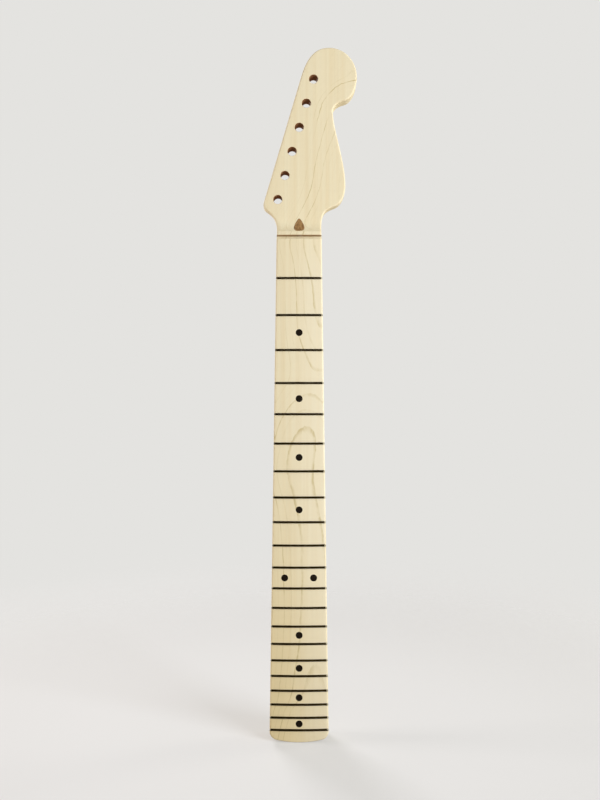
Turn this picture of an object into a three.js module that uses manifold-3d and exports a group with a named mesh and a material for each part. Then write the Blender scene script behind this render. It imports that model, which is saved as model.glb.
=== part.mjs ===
// Bolt-on electric guitar neck: one piece of maple with its frets, dots, truss rod and walnut inlays.
// Millimetres. +Z runs up the neck to the headstock, -Y is the playing face, +X is the treble side.
// The origin is the middle of the flat back of the heel, where the neck is bolted to a body.
import * as THREE from "three";
import { mergeVertices } from "three/addons/utils/BufferGeometryUtils.js";
import Module from "manifold-3d";

const wasm = await Module();
wasm.setup();

// Scale and frets
const scaleLength = 647.7;
const fretCount = 21;
const fretsPerOctave = 12;
const heelOverhang = 11.4; // wood past the last fret

// Plan of the neck
const nutWidth = 41.9;
const heelWidth = 55.1;
const neckWidthAboveNut = 41.3;
const heelBowRadius = 110;
const heelCornerRadius = 7.5;

// Section of the neck
const boardRadius = 304.8;
const edgeRoll = 1.5; // the long edges of the face are rolled to this radius
const heelThickness = 25.4;
const thicknessAtFirstFret = 20.8;
const thicknessAtTwelfthFret = 22.4;
const sideDepth = 7; // depth below the crown where the back's curve begins
const backRoundShare = 0.94; // of the half width that the back's curve takes
const heelFlatLength = 74;
const heelBlendLength = 44;
const heelEdgeRound = 1.5;

// Headstock
const headLength = 181.5; // from the nut's front to the tip
const headWidth = 88.35;
const headDrop = 9.5; // face of the headstock below the crown of the board
const headThickness = 14.3;
const headEdgeRound = 1.5;
const headBlendBelowNut = 10; // the round back fades out from here below the nut
const headBlendAboveNut = 44; // to here above it

// Nut slot, the ledge above it and the ramp down to the headstock's face
const nutSlotWidth = 3.4;
const nutSlotDepth = 3.2;
const ledgeDrop = 0.8;
const rampRadius = 16;
const rampEnd = 21.5; // height over the nut where the ramp meets the headstock's face

// Holes for the tuners, in one line beside the straight bass edge
const tunerCount = 6;
const tunerHoleDiameter = 8.4;
const tunerPitch = 23.57;
const tunerInset = 11.8;
const lowestTunerRise = 5.6;

// Frets
const crownWidth = 2.1;
const crownHeight = 1.1;
const tangThickness = 0.52;
const tangDepth = 1.6;
const fretEndInset = 0.3;
const fretEndBevel = 0.8;
const seatGap = 0.15; // under the crown
const tangPlay = 0.06; // each side of the tang, and below it

// Position dots
const dotDiameter = 6.35;
const dotDepth = 2;
const octaveDotSpacing = 26.8;
const sideDotDiameter = 2;
const sideDotDepth = 3;
const sideDotDrop = 4.2; // below the crown, on the bass side
const octaveSideDotSpacing = 8;
const dottedFrets = [3, 5, 7, 9, 12, 15, 17, 19, 21];

// Truss rod, its anchor, and its nut and washer in the heel
const rodDiameter = 4.76;
const rodPlay = 0.3;
const rodDepthAtHeel = 11.5;
const rodSlopeShare = 0.15; // rise of the rod towards the face at its headstock end, per unit of length
const rodHeelReach = 150; // length of the curve's pull at each end
const rodHeadReach = 60;
const trussNutDiameter = 9;
const trussNutLength = 10;
const trussNutRecess = 1;
const trussNutSeatGap = 0.1;
const trussNutChamfer = 0.8;
const trussNutBorePlay = 0.15;
const trussNutSlotWidth = 1.2;
const trussNutSlotDepth = 2.4;
const trussNutThread = 6;
const pocketPlay = 0.5;
const washerThickness = 1.2;
const washerPlay = 0.25;
const anchorThickness = 3.2;
const boreFloor = 3.9; // height over the nut of the floor of the plug's bore

// Walnut plug over the anchor, and walnut stripe over the rod
const plugDiameter = 9.8;
const plugAxisHeight = 2.97; // of the plug's axis over the headstock's face, where the plug starts to show
const plugShowStart = 7.55; // height over the nut of that place
const rodEndProud = 0.6; // rod's peened end past the anchor
const plugGap = 0.2; // between the rod's end and the plug
const stripeWidth = 6.35;
const stripeBelowNut = 8;
const stripeAboveHeelEnd = 48;
const woodFit = 0.1; // round each inlay
const overrun = 5; // that cutters run past what they cut

// Facets round each section, and steps or ribs along each length
const frontFacets = 4;
const rollFacets = 2;
const backFacets = 6;
const holeFacets = 24;
const dotFacets = 20;
const sideDotFacets = 10;
const rodFacets = 12;
const rodSteps = 24;
const fretSteps = 6;
const crownFacets = 2;
const grooveEndFacets = 4;
const bowRibCount = 3;
const heelCornerRibCount = 4;
const heelBlendRibCount = 7;
const headFadeRibCount = 2;
const flareRibCount = 14;
const lowerBoutRibCount = 6;
const waistRibCount = 5;
const notchRibCount = 6;
const ballRibCount = 6;
const tipRibCount = 9;

// Places worked out from the sizes
const fretPlace = (fret) => scaleLength * (1 - 2 ** (-fret / fretsPerOctave));
const boardLength = fretPlace(fretCount) + heelOverhang;
const heelEnd = -heelFlatLength / 2;
const nutFront = heelEnd + boardLength;
const boardHalf = (z) => THREE.MathUtils.mapLinear(z, heelEnd, nutFront, heelWidth / 2, nutWidth / 2);
const faceY = (depth) => depth - heelThickness;
const headBackDepth = headDrop + headThickness;
const rampHeight = headDrop - ledgeDrop;
const ledgeEnd = rampEnd - Math.sqrt(rampRadius ** 2 - (rampRadius - rampHeight) ** 2);

// A closed three.js geometry as a solid that can be joined and cut
function toSolid(geometry) {
  const bare = geometry.clone();
  bare.deleteAttribute("normal");
  bare.deleteAttribute("uv");
  const merged = mergeVertices(bare);
  const vertProperties = merged.attributes.position.array;
  const triVerts = new Uint32Array(merged.index.array);
  return new wasm.Manifold(new wasm.Mesh({ numProp: 3, vertProperties, triVerts }));
}

function toGeometry(solid) {
  const { vertProperties, triVerts } = solid.getMesh();
  const geometry = new THREE.BufferGeometry();
  geometry.setAttribute("position", new THREE.BufferAttribute(vertProperties, 3));
  geometry.setIndex(new THREE.BufferAttribute(triVerts, 1));
  geometry.computeVertexNormals();
  return geometry;
}

// A cylinder solid whose axis starts at a point and runs along a direction
function cylinderSolid(start, direction, length, radius, facets) {
  const geometry = new THREE.CylinderGeometry(radius, radius, length, facets);
  geometry.rotateY(Math.PI / facets).translate(0, length / 2, 0);
  const up = new THREE.Vector3(0, 1, 0);
  geometry.applyQuaternion(new THREE.Quaternion().setFromUnitVectors(up, direction));
  geometry.translate(start.x, start.y, start.z);
  return toSolid(geometry);
}

function boxSolid(width, depth, height, x, y, z) {
  return toSolid(new THREE.BoxGeometry(width, depth, height).translate(x, y, z));
}

// Edges of the headstock, as Bezier points in shares of its width and of its length over the nut
const bassFlareRiseShare = 0.11;
const bassFlareShares = [[-0.277, 0.132], [-0.345, 0.158]];
const bassCornerShares = [[-0.375, 0.169], [-0.387, 0.180], [-0.3735, 0.2022]];
const bassStraightEndShares = [0.0215, 0.8496];
const bassTipShares = [[0.086, 0.9554], [0.1777, 1], [0.3192, 1]];
const trebleFlareRiseShare = 0.1433;
const trebleFlareShares = [[0.2547, 0.1543], [0.3792, 0.1791]];
const trebleBoutShares = [[0.4414, 0.1915], [0.4912, 0.2314], [0.4912, 0.2865]];
const trebleWaistShares = [[0.4912, 0.4132], [0.363, 0.573], [0.3577, 0.6678]];
const trebleNotchShares = [[0.3554, 0.6942], [0.4075, 0.7168], [0.4697, 0.7234]];
const trebleBallShares = [[0.5546, 0.7325], [0.6129, 0.7824], [0.6129, 0.8512]];
const trebleTipShares = [[0.6129, 0.9333], [0.481, 1], [0.3192, 1]];

function headPoint([acrossShare, upShare]) {
  return new THREE.Vector2(acrossShare * headWidth, nutFront + upShare * headLength);
}

// A run of the blank: a stretch of its bass edge and of its treble edge, and the ribs between them
function run(bass, treble, ribs) {
  return { bass, treble, ribs };
}

function mirroredRun(treble, ribs) {
  const bass = new THREE.Curve();
  bass.getPoint = (t) => {
    const point = treble.getPoint(t);
    return new THREE.Vector2(-point.x, point.y);
  };
  return run(bass, treble, ribs);
}

function straightRun(fromX, fromZ, toX, toZ, ribs = 1) {
  const edge = new THREE.LineCurve(new THREE.Vector2(fromX, fromZ), new THREE.Vector2(toX, toZ));
  return mirroredRun(edge, ribs);
}

// The heel's end is a shallow bow that turns into the sides by a round corner.
// The first rib lies a little way round the bow, because a rib needs some width.
const firstRibShare = 0.125;

function heelRuns() {
  const bowCentre = heelEnd + heelBowRadius;
  const cornerX = heelWidth / 2 - heelCornerRadius;
  const cornerTurn = Math.asin(cornerX / (heelBowRadius - heelCornerRadius));
  const cornerZ = bowCentre - (heelBowRadius - heelCornerRadius) * Math.cos(cornerTurn);
  const down = -Math.PI / 2;
  const firstRib = down + firstRibShare * cornerTurn;
  const bow = new THREE.EllipseCurve(
    0, bowCentre, heelBowRadius, heelBowRadius, firstRib, down + cornerTurn);
  const corner = new THREE.EllipseCurve(
    cornerX, cornerZ, heelCornerRadius, heelCornerRadius, down + cornerTurn, 0);
  const runs = [mirroredRun(bow, bowRibCount), mirroredRun(corner, heelCornerRibCount)];
  return { runs, top: cornerZ };
}

// The shaft tapers straight to the nut, and narrows a little more inside the nut's slot
function shaftRuns(start) {
  const flatEnd = heelEnd + heelFlatLength;
  const blendEnd = flatEnd + heelBlendLength;
  const fadeStart = nutFront - headBlendBelowNut;
  const stepStart = nutFront + nutSlotWidth / 3;
  const stepEnd = nutFront + (2 * nutSlotWidth) / 3;
  const nutHalf = nutWidth / 2;
  const headHalf = neckWidthAboveNut / 2;
  return [
    straightRun(heelWidth / 2, start, boardHalf(flatEnd), flatEnd),
    straightRun(boardHalf(flatEnd), flatEnd, boardHalf(blendEnd), blendEnd, heelBlendRibCount),
    straightRun(boardHalf(blendEnd), blendEnd, boardHalf(fadeStart), fadeStart),
    straightRun(boardHalf(fadeStart), fadeStart, nutHalf, nutFront, headFadeRibCount),
    straightRun(nutHalf, nutFront, nutHalf, stepStart),
    straightRun(nutHalf, stepStart, headHalf, stepEnd),
    straightRun(headHalf, stepEnd, headHalf, nutFront + ledgeEnd),
  ];
}

// Shares of the straight bass edge that lie across from the waist and from the notch
const waistShare = 0.69;
const notchShare = 0.84;
const straightStart = headPoint(bassCornerShares.at(-1));
const straightEnd = headPoint(bassStraightEndShares);

function headRuns() {
  const bezier = (start, shares) => new THREE.CubicBezierCurve(start, ...shares.map(headPoint));
  const straight = (fromShare, toShare) => new THREE.LineCurve(
    straightStart.clone().lerp(straightEnd, fromShare),
    straightStart.clone().lerp(straightEnd, toShare));
  const flare = (footX, riseShare, shares) => {
    const foot = new THREE.Vector2(footX, nutFront + ledgeEnd);
    const lift = new THREE.Vector2(footX, nutFront + riseShare * headLength);
    return new THREE.CubicBezierCurve(foot, lift, ...shares.map(headPoint));
  };
  const bassFlare = flare(-neckWidthAboveNut / 2, bassFlareRiseShare, bassFlareShares);
  const trebleFlare = flare(neckWidthAboveNut / 2, trebleFlareRiseShare, trebleFlareShares);
  const bout = bezier(trebleFlare.v3, trebleBoutShares);
  const waist = bezier(bout.v3, trebleWaistShares);
  const notch = bezier(waist.v3, trebleNotchShares);
  const ball = bezier(notch.v3, trebleBallShares);
  return [
    run(bassFlare, trebleFlare, flareRibCount),
    run(bezier(bassFlare.v3, bassCornerShares), bout, lowerBoutRibCount),
    run(straight(0, waistShare), waist, waistRibCount),
    run(straight(waistShare, notchShare), notch, notchRibCount),
    run(straight(notchShare, 1), ball, ballRibCount),
    run(bezier(straightEnd, bassTipShares), bezier(ball.v3, trebleTipShares), tipRibCount),
  ];
}

// Depth of the face below the crown of the board: the radiused board, the ledge, the ramp, the headstock
function faceDepth(x, z) {
  const crownSag = boardRadius - Math.sqrt(boardRadius ** 2 - x ** 2);
  const rise = z - nutFront;
  if (rise < nutSlotWidth / 2) return crownSag;
  const toRampEnd = Math.max(rampEnd - Math.max(rise, ledgeEnd), 0);
  const overHead = rampRadius - Math.sqrt(rampRadius ** 2 - toRampEnd ** 2);
  return headDrop - overHead + (crownSag * overHead) / rampHeight;
}

// Depth of the back below the crown: flat heel, gently tapering neck, flat headstock
function backDepth(z) {
  const neck = THREE.MathUtils.mapLinear(
    nutFront - z, fretPlace(1), fretPlace(fretsPerOctave), thicknessAtFirstFret, thicknessAtTwelfthFret);
  const flatEnd = heelEnd + heelFlatLength;
  const heelShare = 1 - THREE.MathUtils.smootherstep(z, flatEnd, flatEnd + heelBlendLength);
  const headShare = THREE.MathUtils.smoothstep(z, nutFront - headBlendBelowNut, nutFront + rampEnd);
  return neck + (heelThickness - neck) * heelShare + (headBackDepth - neck) * headShare;
}

// How round the back is: none on the heel and on the headstock, all of it between them
function roundShare(z) {
  const flatEnd = heelEnd + heelFlatLength;
  const fromHeel = THREE.MathUtils.smoothstep(z, flatEnd, flatEnd + heelBlendLength);
  const toHead = THREE.MathUtils.smoothstep(z, nutFront - headBlendBelowNut, nutFront + headBlendAboveNut);
  return fromHeel * (1 - toHead);
}

// One rib of the blank, as a closed ring that starts at the middle of the face
function ribRing(bassPoint, treblePoint) {
  const middle = bassPoint.clone().lerp(treblePoint, 1 / 2);
  const halfSpan = bassPoint.distanceTo(treblePoint) / 2;
  const outward = treblePoint.clone().sub(bassPoint).normalize();
  const quarter = Math.PI / 2;
  const place = (reach, depthAt) => {
    const spot = middle.clone().addScaledVector(outward, reach);
    return new THREE.Vector3(spot.x, faceY(depthAt(spot.x, spot.y)), spot.y);
  };
  const half = (side) => {
    const ring = [];
    for (let i = 1; i <= frontFacets; i++) {
      ring.push(place((side * (halfSpan - edgeRoll) * i) / frontFacets, faceDepth));
    }
    for (let i = 1; i <= rollFacets; i++) {
      const turn = (quarter * i) / rollFacets;
      const reach = halfSpan - edgeRoll * (1 - Math.sin(turn));
      ring.push(place(side * reach, (x, z) => faceDepth(x, z) + edgeRoll * (1 - Math.cos(turn))));
    }
    const round = roundShare(middle.y);
    const plainRound = middle.y > nutFront - headBlendBelowNut ? headEdgeRound : heelEdgeRound;
    const across = THREE.MathUtils.lerp(plainRound, backRoundShare * halfSpan, round);
    for (let i = 0; i <= backFacets; i++) {
      const turn = (quarter * i) / backFacets;
      const depthAt = (x, z) => {
        const deep = THREE.MathUtils.lerp(plainRound, backDepth(z) - sideDepth, round);
        return backDepth(z) - deep * (1 - Math.sin(turn));
      };
      ring.push(place(side * (halfSpan - across * (1 - Math.cos(turn))), depthAt));
    }
    return ring;
  };
  const backMiddle = place(0, (x, z) => backDepth(z));
  return [place(0, faceDepth), ...half(1), backMiddle, ...half(-1).reverse()];
}

// A skin over rings of equal count, closed by a fan at each end
function loft(rings) {
  const count = rings[0].length;
  const positions = rings.flat().flatMap((point) => point.toArray());
  const index = [];
  for (let row = 0; row + 1 < rings.length; row++) {
    for (let i = 0; i < count; i++) {
      const next = (i + 1) % count;
      const [a, b] = [row * count + i, row * count + next];
      index.push(a, b, b + count, a, b + count, a + count);
    }
  }
  const closeEnd = (ring, first, facesUp) => {
    const centre = ring.reduce((sum, point) => sum.add(point), new THREE.Vector3()).divideScalar(count);
    const hub = positions.length / 3;
    positions.push(...centre.toArray());
    for (let i = 0; i < count; i++) {
      const [a, b] = [first + i, first + ((i + 1) % count)];
      index.push(hub, ...(facesUp ? [a, b] : [b, a]));
    }
  };
  closeEnd(rings[0], 0, false);
  closeEnd(rings.at(-1), (rings.length - 1) * count, true);
  const geometry = new THREE.BufferGeometry();
  geometry.setAttribute("position", new THREE.Float32BufferAttribute(positions, 3));
  geometry.setIndex(index);
  return geometry;
}

// The carved blank before any hole or slot is cut
function makeBlank() {
  const heel = heelRuns();
  const runs = [...heel.runs, ...shaftRuns(heel.top), ...headRuns()];
  const rings = [];
  for (const [place, stretch] of runs.entries()) {
    const addRib = (t) => rings.push(ribRing(stretch.bass.getPoint(t), stretch.treble.getPoint(t)));
    for (let i = 0; i < stretch.ribs; i++) addRib(i / stretch.ribs);
    if (place === runs.length - 1) addRib(1 - 1 / (2 * stretch.ribs));
  }
  return toSolid(loft(rings));
}

const blank = makeBlank();

// Truss rod: the curve of its axis, from inside its nut at the heel to the anchor at the headstock
const pocketDepth = trussNutRecess + trussNutLength + trussNutSeatGap + washerThickness;
const pocketFloor = heelEnd + pocketDepth;
const rodHeelEnd = heelEnd + trussNutRecess + trussNutLength - trussNutThread + trussNutSeatGap;
const plugDirection = new THREE.Vector3(0, -rodSlopeShare, 1).normalize();
const plugPoint = (rise) => new THREE.Vector3(
  0, faceY(headDrop - plugAxisHeight - rodSlopeShare * (rise - plugShowStart)), nutFront + rise);
const boreStart = plugPoint(boreFloor);
const rodHeadEnd = boreStart.clone().addScaledVector(plugDirection, anchorThickness + rodEndProud);
const rodStart = new THREE.Vector3(0, faceY(rodDepthAtHeel), rodHeelEnd);
const rodStraightEnd = new THREE.Vector3(0, faceY(rodDepthAtHeel), pocketFloor + overrun);
const rodPath = new THREE.CubicBezierCurve3(
  rodStraightEnd,
  rodStraightEnd.clone().add(new THREE.Vector3(0, 0, rodHeelReach)),
  rodHeadEnd.clone().addScaledVector(plugDirection, -rodHeadReach),
  rodHeadEnd,
);

function rodTube(radius) {
  const wholePath = new THREE.CurvePath();
  wholePath.add(new THREE.LineCurve3(rodStart, rodStraightEnd));
  wholePath.add(rodPath);
  const phase = Math.PI / rodFacets;
  const section = new THREE.Shape().absarc(0, 0, radius, phase, phase + 2 * Math.PI);
  return new THREE.ExtrudeGeometry(section, {
    steps: rodSteps,
    curveSegments: rodFacets / 2,
    extrudePath: wholePath,
    bevelEnabled: false,
  });
}

// A groove over the rod, round ended in plan, whose floor follows the rod at a distance behind its axis.
// The channel's floor is in front of the rod, and the walnut stripe that fills it stops behind the rod.
function grooveSolid(fit, behindRod) {
  const half = stripeWidth / 2 + fit;
  const bottom = heelEnd + stripeAboveHeelEnd + stripeWidth / 2;
  const top = nutFront - stripeBelowNut - stripeWidth / 2;
  const plan = new THREE.Shape();
  plan.absarc(0, top, half, 0, Math.PI);
  plan.absarc(0, bottom, half, Math.PI, 2 * Math.PI);
  plan.closePath();
  const planDepth = heelThickness + overrun;
  const planSteps = { depth: planDepth, curveSegments: grooveEndFacets, bevelEnabled: false };
  const planSolid = toSolid(new THREE.ExtrudeGeometry(plan, planSteps)
    .rotateX(Math.PI / 2)
    .translate(0, overrun, 0));
  const profile = new THREE.Shape();
  const inner = rodPath.getPoints(rodSteps).map((point) => {
    return new THREE.Vector2(point.z, point.y + behindRod);
  });
  const headBack = new THREE.Vector2(inner.at(-1).x, overrun);
  const heelBack = new THREE.Vector2(inner[0].x, overrun);
  profile.setFromPoints([...inner, headBack, heelBack]);
  const profileWidth = stripeWidth + 2 * overrun;
  const profileSteps = { depth: profileWidth, bevelEnabled: false };
  const profileSolid = toSolid(new THREE.ExtrudeGeometry(profile, profileSteps)
    .rotateY(-Math.PI / 2)
    .translate(profileWidth / 2, 0, 0));
  return planSolid.intersect(profileSolid);
}

// Fret: a domed crown on a thin tang, bent to the radius of the board, with bevelled ends
class BoardArc extends THREE.Curve {
  constructor(radius, halfLength, z) {
    super();
    Object.assign(this, { radius, halfLength, z });
  }
  getPoint(t, target = new THREE.Vector3()) {
    const turn = Math.asin(this.halfLength / this.radius) * (2 * t - 1);
    const x = this.radius * Math.sin(turn);
    return target.set(x, faceY(boardRadius - this.radius * Math.cos(turn)), this.z);
  }
}

function makeFret(fret) {
  const z = nutFront - fretPlace(fret);
  const half = boardHalf(z) - fretEndInset;
  const profile = new THREE.Shape();
  profile.moveTo(tangThickness / 2, tangDepth);
  profile.lineTo(tangThickness / 2, 0);
  profile.lineTo(crownWidth / 2, 0);
  profile.absellipse(0, 0, crownWidth / 2, crownHeight, 0, -Math.PI, true);
  profile.lineTo(-tangThickness / 2, 0);
  profile.lineTo(-tangThickness / 2, tangDepth);
  profile.closePath();
  const bar = new THREE.ExtrudeGeometry(profile, {
    steps: fretSteps,
    curveSegments: crownFacets,
    extrudePath: new BoardArc(boardRadius + seatGap, half + overrun, z),
    bevelEnabled: false,
  });
  const edgeSag = boardRadius - Math.sqrt(boardRadius ** 2 - half ** 2);
  const low = faceY(edgeSag + tangDepth + overrun);
  const shoulder = faceY(edgeSag);
  const bevelRun = fretEndBevel * (overrun / crownHeight + 1);
  const high = shoulder - crownHeight - overrun;
  const ends = new THREE.Shape([
    new THREE.Vector2(-half, low),
    new THREE.Vector2(-half, shoulder),
    new THREE.Vector2(bevelRun - half, high),
    new THREE.Vector2(half - bevelRun, high),
    new THREE.Vector2(half, shoulder),
    new THREE.Vector2(half, low),
  ]);
  const endsSolid = toSolid(new THREE.ExtrudeGeometry(ends, { depth: 2 * crownWidth, bevelEnabled: false })
    .translate(0, 0, z - crownWidth));
  return toSolid(bar).intersect(endsSolid);
}

function fretSlot(fret) {
  const z = nutFront - fretPlace(fret);
  const half = boardHalf(z);
  const edgeSag = boardRadius - Math.sqrt(boardRadius ** 2 - half ** 2);
  const floor = faceY(edgeSag + seatGap + tangDepth + tangPlay);
  const width = tangThickness + 2 * tangPlay;
  return boxSolid(2 * (half + overrun), overrun, width, 0, floor - overrun / 2, z);
}

// Places of the dots: halfway between two frets, and a pair at the octave
function dotPlaces(octaveSpacing, acrossBoard) {
  return dottedFrets.flatMap((fret) => {
    const z = nutFront - (fretPlace(fret - 1) + fretPlace(fret)) / 2;
    if (fret !== fretsPerOctave) return [{ fret, mark: `${fret}`, x: 0, z }];
    return [["bass", -1], ["treble", 1]].map(([name, side]) => {
      const shift = (side * octaveSpacing) / 2;
      return acrossBoard
        ? { fret, mark: `${fret}_${name}`, x: shift, z }
        : { fret, mark: `${fret}_${side < 0 ? "lower" : "upper"}`, x: 0, z: z + shift };
    });
  });
}

function faceDotCutter(place, fit) {
  const crownSag = boardRadius - Math.sqrt(boardRadius ** 2 - place.x ** 2);
  const start = new THREE.Vector3(place.x, faceY(crownSag + dotDepth), place.z);
  const radius = dotDiameter / 2 + fit;
  return cylinderSolid(start, new THREE.Vector3(0, -1, 0), dotDepth + overrun, radius, dotFacets);
}

function sideDotCutter(place, fit) {
  const start = new THREE.Vector3(sideDotDepth - boardHalf(place.z), faceY(sideDotDrop), place.z);
  const radius = sideDotDiameter / 2 + fit;
  return cylinderSolid(start, new THREE.Vector3(-1, 0, 0), sideDotDepth + overrun, radius, sideDotFacets);
}

const faceDots = dotPlaces(octaveDotSpacing, true);
const sideDots = dotPlaces(octaveSideDotSpacing, false);
const frets = Array.from({ length: fretCount }, (_, i) => i + 1);

// Tuner holes, from the lowest up, square through the headstock
function tunerHole(place) {
  const along = straightEnd.clone().sub(straightStart).normalize();
  const inward = new THREE.Vector2(along.y, -along.x);
  const spot = straightStart.clone()
    .addScaledVector(along, lowestTunerRise + place * tunerPitch)
    .addScaledVector(inward, tunerInset);
  const start = new THREE.Vector3(spot.x, faceY(headBackDepth + overrun), spot.y);
  return cylinderSolid(
    start, new THREE.Vector3(0, -1, 0), headThickness + 2 * overrun, tunerHoleDiameter / 2, holeFacets);
}

// The bore of the plug and of the anchor, which comes out through the ramp above the nut
const boreLength = rampEnd + overrun;

function plugBoreSolid(radius, start, length) {
  return cylinderSolid(start, plugDirection, length, radius, holeFacets);
}

// The finished neck: the blank with everything cut into it
function makeNeck() {
  const pocketStart = new THREE.Vector3(0, faceY(rodDepthAtHeel), heelEnd - overrun);
  const up = new THREE.Vector3(0, 0, 1);
  const cuts = [
    boxSolid(
      nutWidth + 2 * overrun, nutSlotDepth + overrun, nutSlotWidth,
      0, faceY((nutSlotDepth - overrun) / 2), nutFront + nutSlotWidth / 2),
    cylinderSolid(pocketStart, up, pocketDepth + overrun, trussNutDiameter / 2 + pocketPlay, holeFacets),
    toSolid(rodTube(rodDiameter / 2 + rodPlay)),
    plugBoreSolid(plugDiameter / 2 + woodFit, boreStart, boreLength),
    grooveSolid(woodFit, -(rodDiameter / 2 + rodPlay + woodFit)),
    ...frets.map(fretSlot),
    ...faceDots.map((place) => faceDotCutter(place, woodFit)),
    ...sideDots.map((place) => sideDotCutter(place, woodFit)),
    ...Array.from({ length: tunerCount }, (_, i) => tunerHole(i)),
  ];
  return cuts.reduce((neck, cutter) => neck.subtract(cutter), blank);
}

// Anchor: a steel button on the end of the rod, at the floor of the plug's bore
function makeAnchor() {
  const button = plugBoreSolid(plugDiameter / 2 - woodFit, boreStart, anchorThickness);
  return button.subtract(toSolid(rodTube(rodDiameter / 2 + washerPlay)));
}

function makeStripe() {
  return grooveSolid(0, rodDiameter / 2 + rodPlay).intersect(blank);
}

function makePlug() {
  const start = rodHeadEnd.clone().addScaledVector(plugDirection, plugGap);
  return plugBoreSolid(plugDiameter / 2, start, boreLength).intersect(blank);
}

// Truss rod nut: a round nut, blind bored for the rod, with a cross slot in its outer end
function makeTrussNut() {
  const outer = trussNutDiameter / 2;
  const bore = rodDiameter / 2 + trussNutBorePlay;
  const boreEnd = trussNutLength - trussNutThread - trussNutBorePlay;
  const profile = [
    new THREE.Vector2(0, 0),
    new THREE.Vector2(outer - trussNutChamfer, 0),
    new THREE.Vector2(outer, trussNutChamfer),
    new THREE.Vector2(outer, trussNutLength),
    new THREE.Vector2(bore, trussNutLength),
    new THREE.Vector2(bore, boreEnd),
    new THREE.Vector2(0, boreEnd),
  ];
  const body = toSolid(new THREE.LatheGeometry(profile, holeFacets).rotateX(Math.PI / 2));
  const slotHeight = 2 * trussNutSlotDepth;
  const slotLength = trussNutDiameter + overrun;
  return body
    .subtract(boxSolid(slotLength, trussNutSlotWidth, slotHeight, 0, 0, 0))
    .subtract(boxSolid(trussNutSlotWidth, slotLength, slotHeight, 0, 0, 0));
}

function makeWasher() {
  const [inner, outer] = [rodDiameter / 2 + washerPlay, trussNutDiameter / 2];
  const profile = [
    new THREE.Vector2(inner, 0),
    new THREE.Vector2(outer, 0),
    new THREE.Vector2(outer, washerThickness),
    new THREE.Vector2(inner, washerThickness),
    new THREE.Vector2(inner, 0),
  ];
  return new THREE.LatheGeometry(profile, holeFacets).rotateX(Math.PI / 2);
}

// Finishes, from the object: bare satin maple, walnut, nickel silver, black dots, plain steel
const finishes = {
  maple: { color: 0xe4d4ac, roughness: 0.55, metalness: 0 },
  walnut: { color: 0x966e41, roughness: 0.55, metalness: 0 },
  fretWire: { color: 0xb9b6ae, roughness: 0.3, metalness: 1 },
  blackDot: { color: 0x141414, roughness: 0.35, metalness: 0 },
  steel: { color: 0x8d8f92, roughness: 0.4, metalness: 1 },
};

const part = new THREE.Group();

function addPiece(name, finish, geometry) {
  const mesh = new THREE.Mesh(geometry, new THREE.MeshStandardMaterial(finishes[finish]));
  mesh.name = name;
  part.add(mesh);
  return mesh;
}

addPiece("neck_blank", "maple", toGeometry(makeNeck()));
addPiece("back_stripe", "walnut", toGeometry(makeStripe()));
addPiece("headstock_plug", "walnut", toGeometry(makePlug()));
addPiece("truss_rod", "steel", toGeometry(toSolid(rodTube(rodDiameter / 2))));
addPiece("rod_anchor", "steel", toGeometry(makeAnchor()));
addPiece("truss_rod_washer", "steel", makeWasher())
  .position.set(0, faceY(rodDepthAtHeel), pocketFloor - washerThickness);
addPiece("truss_rod_nut", "steel", toGeometry(makeTrussNut()))
  .position.set(0, faceY(rodDepthAtHeel), heelEnd + trussNutRecess);
for (const fret of frets) {
  addPiece(`fret_${fret}`, "fretWire", toGeometry(makeFret(fret)));
}
for (const place of faceDots) {
  addPiece(`face_dot_${place.mark}`, "blackDot", toGeometry(faceDotCutter(place, 0).intersect(blank)));
}
for (const place of sideDots) {
  addPiece(`side_dot_${place.mark}`, "blackDot", toGeometry(sideDotCutter(place, 0).intersect(blank)));
}

export default part;
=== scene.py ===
import math

import bpy
import numpy as np
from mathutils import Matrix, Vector


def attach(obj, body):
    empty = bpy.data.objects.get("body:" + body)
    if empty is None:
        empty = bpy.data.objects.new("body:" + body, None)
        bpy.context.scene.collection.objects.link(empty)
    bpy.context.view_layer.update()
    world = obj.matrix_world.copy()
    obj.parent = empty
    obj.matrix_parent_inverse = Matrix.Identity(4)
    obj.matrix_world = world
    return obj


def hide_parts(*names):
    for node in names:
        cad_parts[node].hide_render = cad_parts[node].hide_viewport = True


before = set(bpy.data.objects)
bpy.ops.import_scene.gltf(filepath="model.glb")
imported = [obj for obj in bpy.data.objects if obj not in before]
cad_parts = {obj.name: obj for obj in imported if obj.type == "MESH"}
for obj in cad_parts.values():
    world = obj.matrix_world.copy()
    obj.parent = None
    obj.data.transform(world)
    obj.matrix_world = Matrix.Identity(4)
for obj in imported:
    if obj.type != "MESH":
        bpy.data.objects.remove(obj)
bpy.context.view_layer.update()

# Neck blank: shape
# One piece of plain-sawn maple, carved to a radiused playing face, a round back, a flat heel and a dropped
# headstock. Everything else is let into it, and a body takes it by the flat back of its heel.
MM = 0.001
SCALE_LENGTH = 647.7 * MM
FRET_COUNT = 21
FRETS_PER_OCTAVE = 12
HEEL_OVERHANG = 11.4 * MM
NUT_WIDTH = 41.9 * MM
HEEL_WIDTH = 55.1 * MM
WIDTH_ABOVE_NUT = 41.3 * MM
HEEL_BOW_RADIUS = 110 * MM
HEEL_CORNER_RADIUS = 7.5 * MM
BOARD_RADIUS = 304.8 * MM
HEEL_THICKNESS = 25.4 * MM
FIRST_FRET_THICKNESS = 20.8 * MM
TWELFTH_FRET_THICKNESS = 22.4 * MM
SIDE_DEPTH = 7 * MM
BACK_ROUND_SHARE = 0.94
HEEL_FLAT_LENGTH = 74 * MM
HEEL_BLEND_LENGTH = 44 * MM
EDGE_ROLL = 1.5 * MM
HEEL_END_ROLL = 0.7 * MM
BACK_EDGE_ROUND = 1.5 * MM
HEAD_LENGTH = 181.5 * MM
HEAD_WIDTH = 88.35 * MM
HEAD_DROP = 9.5 * MM
HEAD_THICKNESS = 14.3 * MM
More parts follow.
